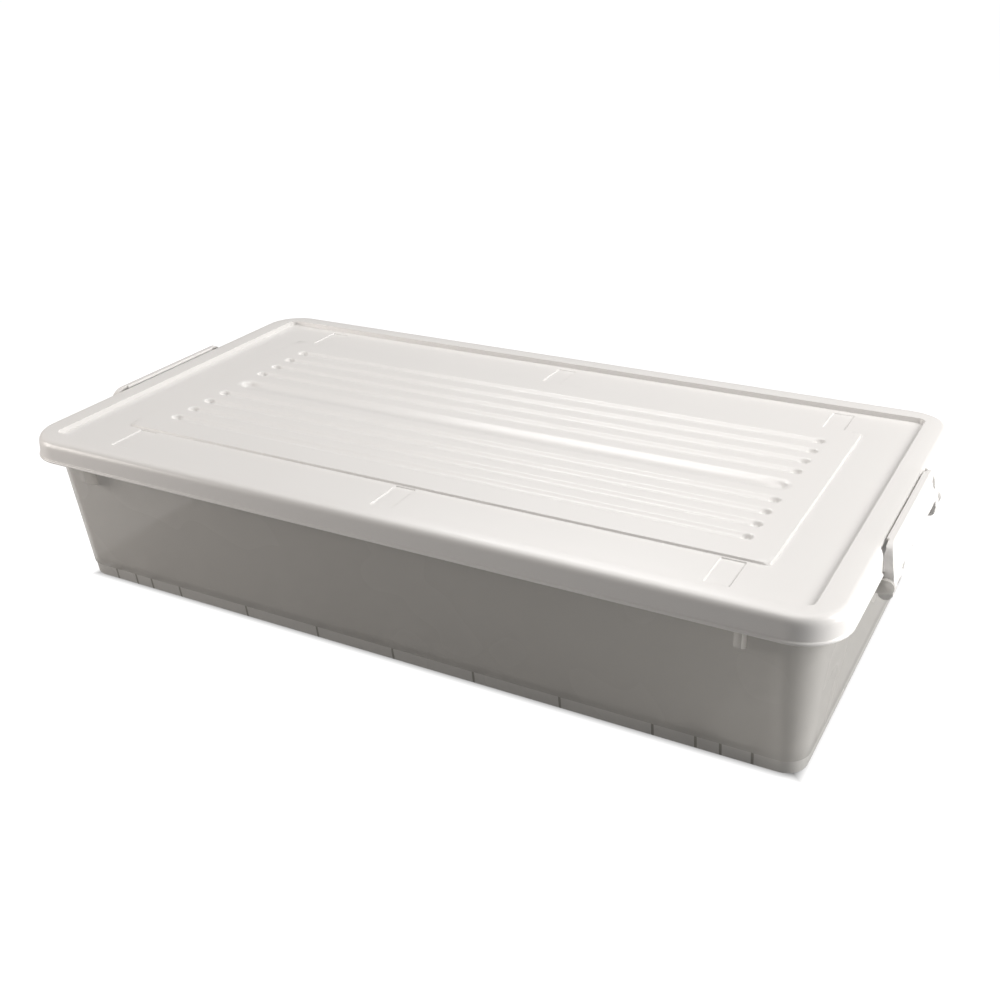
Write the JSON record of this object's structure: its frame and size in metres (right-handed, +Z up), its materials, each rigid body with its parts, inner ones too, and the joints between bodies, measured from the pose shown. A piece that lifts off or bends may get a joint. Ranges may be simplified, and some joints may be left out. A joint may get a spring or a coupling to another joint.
{
  "type": "under bed box",
  "caption": "Low see-through storage box with a ribbed lift-off lid, fold-down clip handles on the short ends and small wheels set into its underside.",
  "frame": {"origin": "on the floor under the middle of the box, at the bottom of the wheels", "axes": "+X along the length to the right handle, +Y across the box to the back long side, +Z up"},
  "size_m": [0.7994, 0.417, 0.1615],
  "materials": {
    "clear_plastic": "satin, see-through",
    "lid_plastic": "satin",
    "handle_plastic": "satin",
    "wheel_plastic": "matte",
    "pin_steel": "drawn wire"
  },
  "bodies": {
    "tub": {"tub": "clear_plastic", "front_left_axle_pin": "pin_steel", "front_middle_axle_pin": "pin_steel", "front_right_axle_pin": "pin_steel", "back_left_axle_pin": "pin_steel", "back_middle_axle_pin": "pin_steel", "back_right_axle_pin": "pin_steel"},
    "lid": {"lid": "lid_plastic"},
    "left_handle": {"left_handle": "handle_plastic"},
    "right_handle": {"right_handle": "handle_plastic"},
    "front_left_wheel": {"front_left_wheel": "wheel_plastic"},
    "front_middle_wheel": {"front_middle_wheel": "wheel_plastic"},
    "front_right_wheel": {"front_right_wheel": "wheel_plastic"},
    "back_left_wheel": {"back_left_wheel": "wheel_plastic"},
    "back_middle_wheel": {"back_middle_wheel": "wheel_plastic"},
    "back_right_wheel": {"back_right_wheel": "wheel_plastic"}
  },
  "joints": [
    {"name": "lid_lift", "type": "slide", "parent": "tub", "child": "lid", "axis": [0, 0, 1], "range_m": [0, 0.2]},
    {"name": "right_handle_hinge", "type": "hinge", "parent": "tub", "child": "right_handle", "pos_m": [0.3915, 0, 0.1305], "axis": [0, 1, 0], "range_deg": [0, 105]},
    {"name": "left_handle_hinge", "type": "hinge", "parent": "tub", "child": "left_handle", "pos_m": [-0.3915, 0, 0.1305], "axis": [0, -1, 0], "range_deg": [0, 105]},
    {"name": "front_left_wheel_spin", "type": "hinge", "parent": "tub", "child": "front_left_wheel", "pos_m": [-0.2905, -0.1575, 0.012], "axis": [1, 0, 0], "continuous": true},
    {"name": "front_middle_wheel_spin", "type": "hinge", "parent": "tub", "child": "front_middle_wheel", "pos_m": [0, -0.1575, 0.012], "axis": [1, 0, 0], "continuous": true},
    {"name": "front_right_wheel_spin", "type": "hinge", "parent": "tub", "child": "front_right_wheel", "pos_m": [0.2905, -0.1575, 0.012], "axis": [1, 0, 0], "continuous": true},
    {"name": "back_left_wheel_spin", "type": "hinge", "parent": "tub", "child": "back_left_wheel", "pos_m": [-0.2905, 0.1575, 0.012], "axis": [1, 0, 0], "continuous": true},
    {"name": "back_middle_wheel_spin", "type": "hinge", "parent": "tub", "child": "back_middle_wheel", "pos_m": [0, 0.1575, 0.012], "axis": [1, 0, 0], "continuous": true},
    {"name": "back_right_wheel_spin", "type": "hinge", "parent": "tub", "child": "back_right_wheel", "pos_m": [0.2905, 0.1575, 0.012], "axis": [1, 0, 0], "continuous": true}
  ]
}
